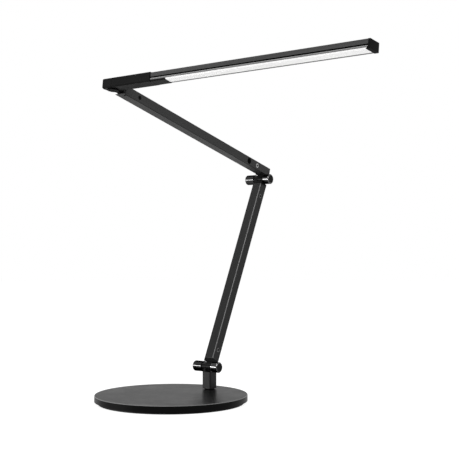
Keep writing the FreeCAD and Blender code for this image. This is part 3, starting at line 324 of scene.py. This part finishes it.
def new_finish(name):
    """A material with its shader and the place on the object as a vector."""
    material = bpy.data.materials.new(name)
    material.use_nodes = True
    tree = material.node_tree
    shader = tree.nodes["Principled BSDF"]
    place = add_node(tree, "ShaderNodeTexCoord").outputs["Object"]
    return material, tree, shader, place


def set_shader(shader, **values):
    for name, value in values.items():
        shader.inputs[name.replace("_", " ")].default_value = value


def vary_roughness(tree, shader, tone, span, roughness, swing, smears=None, gloss=0.0):
    """Roughness that swings with the tone of the grain, less a gloss where hands have smeared it."""
    value = remap(tree, tone, *span, roughness - swing, roughness + swing)
    if smears is not None:
        value = math_node(tree, "SUBTRACT", value, times(tree, smears, gloss))
    tree.links.new(value, shader.inputs["Roughness"])


def bump(tree, shader, height, distance):
    """Turn a height into the shader's normal."""
    node = add_node(tree, "ShaderNodeBump", {"Height": height, "Distance": distance})
    tree.links.new(node.outputs["Normal"], shader.inputs["Normal"])


def along_piece(tree, place, angle, stretch):
    """The place in the frame of a tilted piece, drawn out along its length."""
    turn = (math.radians(-angle), 0.0, 0.0)
    node = add_node(tree, "ShaderNodeMapping", {"Vector": place, "Rotation": turn, "Scale": stretch},
                    vector_type="TEXTURE")
    return node.outputs["Vector"]


def in_frame(tree, place, origin, angle):
    """The parts of the place measured from an origin, in a frame turned about the X axis."""
    turn = (math.radians(-angle), 0.0, 0.0)
    node = add_node(tree, "ShaderNodeMapping", {"Vector": place, "Location": origin, "Rotation": turn},
                    vector_type="TEXTURE")
    return split(tree, node.outputs["Vector"])


def on_bevel(tree, axis):
    """One on faces that slope between square to an axis of the object and along it."""
    facing = add_node(tree, "ShaderNodeTexCoord").outputs["Normal"]
    part = math_node(tree, "ABSOLUTE", split(tree, facing)[axis])
    return math_node(tree, "COMPARE", part, BEVEL_SLOPE, BEVEL_SPREAD)


def in_groove(tree, place):
    """One inside the groove along the bar's sides, where the bar is painted black as shade."""
    parts = in_frame(tree, place, BAR_ORIGIN, BAR_ROLL)
    level = math_node(tree, "COMPARE", parts["Z"], GROOVE_MIDDLE, GROOVE_HALF)
    deep = math_node(tree, "LESS_THAN", math_node(tree, "ABSOLUTE", parts["Y"]), GROOVE_MOUTH)
    return times(tree, level, deep)


def sprayed_finish(name, dark, light, worn_and_painted_edge_grey, roughness, grain_scale, grain_depth, specular, worn_and_painted_edge_share=0.6,
                   edge_radius=0.0005, worn_and_painted_edge_above=UNDER_ALL):
    """A sprayed black coat: pimples, smears, a little dust, and edges and bevel faces painted brighter,
    partly as wear and partly as painted highlight.
    """
    material, tree, shader, place = new_finish(name)
    grain = use_group(tree, COAT_GRAIN, vector=place, scale=grain_scale)
    smears = use_group(tree, HANDLING, vector=place)["Mask"]
    edge = use_group(tree, EDGE_WEAR_AND_HIGHLIGHT, vector=place, radius=edge_radius)["Mask"]
    dust = use_group(tree, DUST, vector=place)["Mask"]
    coat = mix_colour(tree, grain["Tone"], grey(dark), grey(light))
    above = math_node(tree, "GREATER_THAN", split(tree, place)["Z"], worn_and_painted_edge_above)
    # Edges and bevel faces take the edge grey: partly wear, partly painted highlight.
    worn_and_painted_edges = times(tree, math_node(tree, "MAXIMUM", edge, on_bevel(tree, "Z")), above)
    with_worn_and_painted_edges = lay_over(tree, coat, grey(worn_and_painted_edge_grey), worn_and_painted_edges, worn_and_painted_edge_share)
    dusty = lay_over(tree, with_worn_and_painted_edges, grey(DUST_GREY, DUST_WARMTH), dust, share=0.12)
    tree.links.new(dusty, shader.inputs["Base Color"])
    vary_roughness(tree, shader, grain["Tone"], GRAIN_SPAN, roughness, swing=0.03,
                   smears=smears, gloss=0.05)
    set_shader(shader, Specular_IOR_Level=specular)
    bump(tree, shader, grain["Height"], grain_depth)
    return material


def drawn_finish(name, angle, stretch, dark, light, worn_and_painted_edge_grey, roughness, specular, worn_and_painted_edge_share=0.5, paint_groove_shade=False):
    """Black anodised aluminium with fine lines along the piece; edges and bevel faces take their own grey,
    partly wear, partly painted highlight and, where darker than the film, painted shade; a groove is
    painted black as shade in its depth.
    """
    material, tree, shader, place = new_finish(name)
    lines = use_group(tree, DRAWN_LINES, vector=along_piece(tree, place, angle, stretch))
    smears = use_group(tree, HANDLING, vector=place)["Mask"]
    edge = use_group(tree, EDGE_WEAR_AND_HIGHLIGHT, vector=place)["Mask"]
    dust = use_group(tree, DUST, vector=place)["Mask"]
    film = mix_colour(tree, lines["Tone"], grey(dark), grey(light))
    # Edges and bevel faces take the edge grey: partly wear, partly painted highlight, and painted shade
    # where that grey is darker than the film.
    worn_and_painted_edges = math_node(tree, "MAXIMUM", edge, on_bevel(tree, "X"))
    with_worn_and_painted_edges = lay_over(tree, film, grey(worn_and_painted_edge_grey), worn_and_painted_edges, worn_and_painted_edge_share)
    colour = lay_over(tree, with_worn_and_painted_edges, grey(DUST_GREY, DUST_WARMTH), dust, share=0.1)
    if paint_groove_shade:
        groove_shade = in_groove(tree, place)
        # The groove's depth is painted black as shade, and made metallic so that its black takes no sheen.
        colour = mix_colour(tree, groove_shade, colour, grey(0.0))
        tree.links.new(groove_shade, shader.inputs["Metallic"])
    tree.links.new(colour, shader.inputs["Base Color"])
    vary_roughness(tree, shader, lines["Tone"], LINE_SPAN, roughness, swing=0.04,
                   smears=smears, gloss=0.06)
    set_shader(shader, Specular_IOR_Level=specular)
    bump(tree, shader, lines["Height"], LINE_DEPTH)
    return material


def plated_finish(name, dark, light, roughness, highlight_gain=1.5, worn_and_painted_edge_share=0.35, glance=1.0):
    """Polished plate with hair scratches round it, faint smears, and edges painted brighter, partly as wear
    and partly as painted highlight.
    """
    material, tree, shader, place = new_finish(name)
    hairs = use_group(tree, DRAWN_LINES, vector=along_piece(tree, place, 0.0, ROUND_HINGE), scale=2600.0)
    smears = use_group(tree, HANDLING, vector=place, scale=90.0)["Mask"]
    edge = use_group(tree, EDGE_WEAR_AND_HIGHLIGHT, vector=place, radius=0.0003)["Mask"]
    plate = mix_colour(tree, hairs["Tone"], grey(dark), grey(light))
    plate_with_painted_edges = lay_over(tree, plate, worn_and_highlit_grey(light, highlight_gain), edge, worn_and_painted_edge_share)
    tree.links.new(plate_with_painted_edges, shader.inputs["Base Color"])
    vary_roughness(tree, shader, hairs["Tone"], LINE_SPAN, roughness, swing=0.025,
                   smears=smears, gloss=-0.06)
    set_shader(shader, Metallic=1.0, Specular_Tint=grey(glance))
    bump(tree, shader, hairs["Height"], HAIR_DEPTH)
    return material


def turned_finish(name, centre, dark, light, roughness, specular, depth):
    """A face turned on a lathe about a hinge axis."""
    material, tree, shader, place = new_finish(name)
    from_axis = add_node(tree, "ShaderNodeVectorMath", {0: place, 1: centre}, operation="SUBTRACT")
    rings = use_group(tree, TURNED_RINGS, vector=from_axis.outputs[0])
    edge = use_group(tree, EDGE_WEAR_AND_HIGHLIGHT, vector=place, radius=0.0003)["Mask"]
    face = mix_colour(tree, rings["Tone"], grey(dark), grey(light))
    with_worn_and_painted_edges = lay_over(tree, face, worn_and_highlit_grey(light, gain=2.0), edge, share=0.4)
    tree.links.new(with_worn_and_painted_edges, shader.inputs["Base Color"])
    vary_roughness(tree, shader, rings["Tone"], RING_SPAN, roughness, swing=0.05)
    set_shader(shader, Specular_IOR_Level=specular)
    bump(tree, shader, rings["Height"], depth)
    return material


def socket_finish(name, centre, angle, spread, socket_radius, dark, light, roughness):
    """Screw heads with lathe rings and a socket painted black as shade; two heads lie a spread above and
    below the centre.
    """
    material, tree, shader, place = new_finish(name)
    offset = in_frame(tree, place, centre, angle)
    along = math_node(tree, "SUBTRACT", math_node(tree, "ABSOLUTE", offset["Z"]), spread)
    from_axis = add_node(tree, "ShaderNodeCombineXYZ", {"Y": offset["Y"], "Z": along})
    rings = use_group(tree, TURNED_RINGS, vector=from_axis.outputs[0], pitch=0.0003)
    edge = use_group(tree, EDGE_WEAR_AND_HIGHLIGHT, vector=place, radius=0.0002)["Mask"]
    face = mix_colour(tree, rings["Tone"], grey(dark), grey(light))
    with_worn_and_painted_edges = lay_over(tree, face, worn_and_highlit_grey(light, gain=1.3), edge, share=0.4)
    square = math_node(tree, "ADD", times(tree, offset["Y"], offset["Y"]), times(tree, along, along))
    # The socket is painted black as shade.
    socket = math_node(tree, "LESS_THAN", square, socket_radius ** 2)
    tree.links.new(mix_colour(tree, socket, with_worn_and_painted_edges, grey(SOCKET_SHADE)), shader.inputs["Base Color"])
    vary_roughness(tree, shader, rings["Tone"], RING_SPAN, roughness, swing=0.05)
    set_shader(shader, Metallic=1.0)
    bump(tree, shader, rings["Height"], SCREW_RING_DEPTH)
    return material


def moulded_finish(name, dark, light, roughness, grain_scale, grain_depth, specular=0.3):
    """Moulded plastic or rubber with a spark-eroded grain."""
    material, tree, shader, place = new_finish(name)
    grain = use_group(tree, COAT_GRAIN, vector=place, scale=grain_scale)
    smears = use_group(tree, HANDLING, vector=place, scale=40.0)["Mask"]
    edge = use_group(tree, EDGE_WEAR_AND_HIGHLIGHT, vector=place, radius=0.0004)["Mask"]
    body = mix_colour(tree, grain["Tone"], grey(dark), grey(light))
    with_worn_and_painted_edges = lay_over(tree, body, worn_and_highlit_grey(light, gain=2.2), edge, share=0.35)
    tree.links.new(with_worn_and_painted_edges, shader.inputs["Base Color"])
    vary_roughness(tree, shader, grain["Tone"], GRAIN_SPAN, roughness, swing=-0.04,
                   smears=smears, gloss=0.07)
    set_shader(shader, Specular_IOR_Level=specular)
    bump(tree, shader, grain["Height"], grain_depth)
    return material


def frosted_finish(name, dark, light, side_shade_dark, side_shade_pale, roughness):
    """Milky diffuser with a fine frosted skin: a window below painted to glow, and sides painted grey as
    shade.
    """
    material, tree, shader, place = new_finish(name)
    frost = use_group(tree, COAT_GRAIN, vector=place, scale=2600.0)
    clouds = use_group(tree, HANDLING, vector=place, scale=14.0)["Mask"]
    milk = mix_colour(tree, frost["Tone"], grey(dark, MILK_WARMTH), grey(light, MILK_WARMTH))
    cloudy = lay_over(tree, milk, grey(light, CLOUD_WARMTH), clouds, share=0.3)
    parts = in_frame(tree, place, BAR_ORIGIN, BAR_ROLL)
    # The diffuser's sides are painted grey as shade, darker towards the bottom.
    shade = times(tree, remap(tree, parts["Z"], SIDE_FOOT, SIDE_TOP),
                  remap(tree, frost["Tone"], 0.0, 1.0, new_low=0.85))
    painted_side_shade = mix_colour(tree, shade, grey(side_shade_dark), grey(side_shade_pale))
    inside = remap(tree, parts["Y"], WINDOW_FAR - WINDOW_BLUR, WINDOW_FAR + WINDOW_BLUR, 1.0, 0.0)
    below = math_node(tree, "LESS_THAN", parts["Z"], WINDOW_TOP)
    painted_glow_window = times(tree, inside, below)
    tree.links.new(mix_colour(tree, painted_glow_window, painted_side_shade, cloudy), shader.inputs["Base Color"])
    vary_roughness(tree, shader, frost["Tone"], GRAIN_SPAN, roughness, swing=0.06)
    # The window glows with the milk's colour as painted light.
    tree.links.new(mix_colour(tree, painted_glow_window, grey(0.0), milk), shader.inputs["Emission Color"])
    set_shader(shader, Emission_Strength=WINDOW_PAINTED_GLOW)
    bump(tree, shader, frost["Height"], FINE_DEPTH)
    return material


def coloured_finish(name, dark, light, roughness, scale):
    """Lacquer or phosphor with its own grain."""
    material, tree, shader, place = new_finish(name)
    grain = use_group(tree, COAT_GRAIN, vector=place, scale=scale)
    edge = use_group(tree, EDGE_WEAR_AND_HIGHLIGHT, vector=place, radius=0.0002)["Mask"]
    body = mix_colour(tree, grain["Tone"], dark, light)
    tree.links.new(lay_over(tree, body, light, edge, share=0.3), shader.inputs["Base Color"])
    vary_roughness(tree, shader, grain["Tone"], GRAIN_SPAN, roughness, swing=0.05)
    bump(tree, shader, grain["Height"], FINE_DEPTH)
    return material


def middle(node):
    low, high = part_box(node)
    return tuple((low + high) / 2)


def dress(material, *nodes):
    """Give a finish to CAD nodes."""
    for name in nodes:
        slots = frame["nodes"][name].data.materials
        slots.clear()
        slots.append(material)


def dress_base():
    # The base's top edge and its bevel are painted pale as highlight, only above the rim's top.
    dress(sprayed_finish("base_paint", dark=0.0012, light=0.0028, worn_and_painted_edge_grey=0.2, roughness=0.36,
                         grain_scale=1700.0, grain_depth=0.00003, specular=0.04, worn_and_painted_edge_share=0.9,
                         edge_radius=0.0008, worn_and_painted_edge_above=RIM_HIGHLIGHT_TOP),
          "base_plate")
    dress(sprayed_finish("cover_steel", dark=0.002, light=0.004, worn_and_painted_edge_grey=0.03, roughness=0.5,
                         grain_scale=900.0, grain_depth=0.00003, specular=0.05),
          "base_cover")
    dress(moulded_finish("foot_rubber", dark=0.004, light=0.009, roughness=0.75,
                         grain_scale=1100.0, grain_depth=0.00006),
          "base_pad")
    # The bushes are painted near black as the shade at the foot of the post.
    dress(moulded_finish("bush", dark=0.0005, light=0.001, roughness=0.7,
                         grain_scale=2400.0, grain_depth=0.00001, specular=0.01),
          "swivel_bush", "lower_hinge_bush", "upper_hinge_bush", "neck_bush")
    dress(moulded_finish("jack_plastic", dark=0.010, light=0.018, roughness=0.45,
                         grain_scale=1800.0, grain_depth=0.00002),
          "power_jack")


def dress_arms():
    dress(drawn_finish("arm_black_post", POST_LEAN, ALONG_UPRIGHT, dark=0.006, light=0.010, worn_and_painted_edge_grey=0.02,
                       roughness=0.42, specular=0.13),
          "post_tube")
    # The lower arm's chamfered edge is painted pale as highlight.
    dress(drawn_finish("arm_black_lower", LOWER_ARM_LEAN, ALONG_UPRIGHT, dark=0.006, light=0.010, worn_and_painted_edge_grey=0.19,
                       roughness=0.42, specular=0.13, worn_and_painted_edge_share=0.85),
          "lower_arm_tube")
    # The upper arm is the arm black painted brighter as light, with its edges painted dark as shade.
    dress(drawn_finish("arm_black_upper_painted_brighter", UPPER_ARM_PITCH, ALONG_UPPER_ARM, dark=0.014, light=0.022,
                       worn_and_painted_edge_grey=0.002, roughness=0.54, specular=0.18, worn_and_painted_edge_share=0.9),
          "upper_arm_tube", "arm_end_insert")
    dress(sprayed_finish("lug_black", dark=0.0015, light=0.003, worn_and_painted_edge_grey=0.03, roughness=0.4,
                         grain_scale=2200.0, grain_depth=0.00002, specular=0.05),
          "post_lug", "lower_arm_foot_lug", "lower_arm_top_lug", "upper_arm_lug")
    dress(sprayed_finish("neck_black", dark=0.001, light=0.002, worn_and_painted_edge_grey=0.003, roughness=0.6,
                         grain_scale=2200.0, grain_depth=0.00002, specular=0.025),
          "neck")


def dress_hinges():
    dress(plated_finish("cap_chrome", dark=0.031, light=0.041, roughness=0.09, glance=0.12),
          "lower_hinge_cap", "upper_hinge_cap")
    # The rings' edges are painted near white as highlight.
    dress(plated_finish("ring_chrome", dark=0.05, light=0.07, roughness=0.085, highlight_gain=12.0, worn_and_painted_edge_share=0.8,
                        glance=0.3),
          "lower_hinge_ring", "upper_hinge_ring")
    for name in ("lower", "upper"):
        node = f"{name}_hinge_disc"
        dress(turned_finish(f"disc_black_{name}", middle(node), dark=0.002, light=0.005, roughness=0.45,
                            specular=0.06, depth=0.00002),
              node)
    dress(plated_finish("steel", dark=0.42, light=0.55, roughness=0.305),
          "swivel_stud", "swivel_stop_washer", "swivel_spring_washer", "swivel_nut", "swivel_stop_pin",
          "lower_hinge_shaft", "lower_hinge_springs", "lower_hinge_nut", "upper_hinge_shaft",
          "upper_hinge_springs", "upper_hinge_nut", "tilt_pin", "neck_washer", "neck_nut")


def dress_fasteners():
    dress(sprayed_finish("screw_black", dark=0.0008, light=0.002, worn_and_painted_edge_grey=0.05, roughness=0.5,
                         grain_scale=3200.0, grain_depth=0.00001, specular=0.03),
          "base_cover_screws", "post_grub_screws", "arm_end_screw", "housing_screws")
    dress(socket_finish("screw_dim", middle("lower_arm_screws"), angle=LOWER_ARM_LEAN, spread=SCREW_SPREAD,
                        socket_radius=ARM_SOCKET, dark=0.12, light=0.18, roughness=0.3),
          "lower_arm_screws")
    dress(socket_finish("screw_bright", middle("upper_arm_lug_screw"), angle=0.0, spread=0.0,
                        socket_radius=LUG_SOCKET, dark=0.30, light=0.42, roughness=0.25),
          "upper_arm_lug_screw")
    dress(moulded_finish("plug_black", dark=0.0006, light=0.0012, roughness=0.7,
                         grain_scale=2000.0, grain_depth=0.00002, specular=0.01),
          "port_plug", "tail_plug")
    dress(moulded_finish("wire_sheath", dark=0.010, light=0.016, roughness=0.5,
                         grain_scale=1400.0, grain_depth=0.00003),
          "lower_arm_wire", "upper_arm_wire")


def dress_head():
    dress(moulded_finish("housing_black", dark=0.002, light=0.004, roughness=0.6,
                         grain_scale=2000.0, grain_depth=0.00003, specular=0.05),
          "rear_cap", "head_housing", "bar_mask")
    dress(moulded_finish("end_black", dark=0.0015, light=0.003, roughness=0.65,
                         grain_scale=1800.0, grain_depth=0.00003, specular=0.035),
          "end_cap")
    dress(drawn_finish("bar_black", BAR_ROLL, ALONG_BAR, dark=0.010, light=0.018, worn_and_painted_edge_grey=0.02,
                       roughness=0.4, specular=0.33, paint_groove_shade=True),
          "bar_profile")
    # Its sides are painted grey as shade and its window painted to glow.
    dress(frosted_finish("diffuser", dark=0.56, light=0.62, side_shade_dark=0.045, side_shade_pale=0.24,
                         roughness=0.44),
          "bar_diffuser")
    dress(coloured_finish("board_white", dark=(0.70, 0.70, 0.67, 1.0), light=(0.82, 0.82, 0.80, 1.0),
                          roughness=0.4, scale=1500.0),
          "led_board")
    dress(coloured_finish("chip_yellow", dark=(0.72, 0.55, 0.10, 1.0), light=(0.88, 0.74, 0.24, 1.0),
                          roughness=0.35, scale=4000.0),
          "led_chips")
    dress(coloured_finish("board_green", dark=(0.02, 0.14, 0.06, 1.0), light=(0.04, 0.24, 0.11, 1.0),
                          roughness=0.35, scale=1200.0),
          "driver_board")


# Stage, light and camera


def seen_ray(tree):
    """One where the ray comes from the camera, from gloss or through something clear."""
    path = add_node(tree, "ShaderNodeLightPath").outputs
    direct = math_node(tree, "MAXIMUM", path["Is Camera Ray"], path["Is Glossy Ray"])
    return math_node(tree, "MAXIMUM", direct, path["Is Transmission Ray"])


def mix_shader(tree, factor, first, second):
    inputs = {0: factor, 1: first.outputs[0], 2: second.outputs[0]}
    return add_node(tree, "ShaderNodeMixShader", inputs)


def make_floor():
    """A plain pale floor that keeps a faint shadow and cannot be seen from below."""
    mesh = bpy.data.meshes.new("floor")
    turns = [2 * math.pi * step / FLOOR_SIDES for step in range(FLOOR_SIDES)]
    corners = [(FLOOR_RADIUS * math.cos(turn), FLOOR_RADIUS * math.sin(turn), -FLOOR_DROP)
               for turn in turns]
    mesh.from_pydata(corners, [], [list(range(FLOOR_SIDES))])
    floor = bpy.data.objects.new("floor", mesh)
    bpy.context.scene.collection.objects.link(floor)
    material = bpy.data.materials.new("floor_pale")
    material.use_nodes = True
    tree = material.node_tree
    tree.nodes.clear()
    paper = add_node(tree, "ShaderNodeBsdfDiffuse", {"Color": grey(FLOOR_PAPER)})
    faint = add_node(tree, "ShaderNodeBsdfDiffuse", {"Color": grey(FLOOR_SHADOW)})
    glow = add_node(tree, "ShaderNodeEmission", {"Color": grey(1.0), "Strength": FLOOR_GLOW})
    white = add_node(tree, "ShaderNodeAddShader", {0: faint.outputs[0], 1: glow.outputs[0]})
    shown = mix_shader(tree, seen_ray(tree), paper, white)
    back = add_node(tree, "ShaderNodeNewGeometry").outputs["Backfacing"]
    final = mix_shader(tree, back, shown, add_node(tree, "ShaderNodeBsdfTransparent"))
    add_node(tree, "ShaderNodeOutputMaterial", {"Surface": final.outputs[0]})
    mesh.materials.append(material)


def make_world():
    """White where it is seen, softer where it lights."""
    world = bpy.data.worlds.new("studio")
    bpy.context.scene.world = world
    world.use_nodes = True
    tree = world.node_tree
    tree.nodes.clear()
    soft = add_node(tree, "ShaderNodeBackground", {"Color": grey(1.0), "Strength": STUDIO_SOFT})
    white = add_node(tree, "ShaderNodeBackground", {"Color": grey(1.0), "Strength": STUDIO_WHITE})
    mixed = mix_shader(tree, seen_ray(tree), soft, white)
    add_node(tree, "ShaderNodeOutputWorld", {"Surface": mixed.outputs[0]})


def make_light(name, place, target, size, power):
    """A soft box that looks at a point."""
    data = bpy.data.lights.new(name, "AREA")
    data.shape = "RECTANGLE"
    data.size, data.size_y = size
    data.energy = power
    light = bpy.data.objects.new(name, data)
    bpy.context.scene.collection.objects.link(light)
    light.location = place
    direction = Vector(target) - Vector(place)
    light.rotation_euler = direction.to_track_quat("-Z", "Y").to_euler()


def make_lights():
    make_light("key_box", place=(0.79, -0.32, 0.82), target=(0.05, 0.0, 0.3), size=(0.45, 0.45),
               power=4.6)
    make_light("left_box", place=(-0.6, -0.9, 1.9), target=(0.05, 0.0, 0.2), size=(1.0, 1.0),
               power=10.0)
    make_light("front_left_strip", place=(-1.4, -1.8, 0.31), target=(0.05, 0.05, 0.24), size=(0.9, 0.22),
               power=36.0)
    make_light("back_right_box", place=(1.2, 1.15, 0.95), target=(0.05, 0.0, 0.3), size=(0.7, 0.7),
               power=1.6)


def make_camera():
    data = bpy.data.cameras.new("camera")
    data.lens = CAMERA_LENS
    data.sensor_width = CAMERA_SENSOR
    camera = bpy.data.objects.new("camera", data)
    bpy.context.scene.collection.objects.link(camera)
    camera.location = CAMERA_PLACE
    camera.rotation_euler = [math.radians(angle) for angle in CAMERA_TURN]
    bpy.context.scene.camera = camera


dress_base()
dress_arms()
dress_hinges()
dress_fasteners()
dress_head()
make_floor()
make_world()
make_lights()
make_camera()
bpy.context.scene.view_settings.view_transform = "Standard"
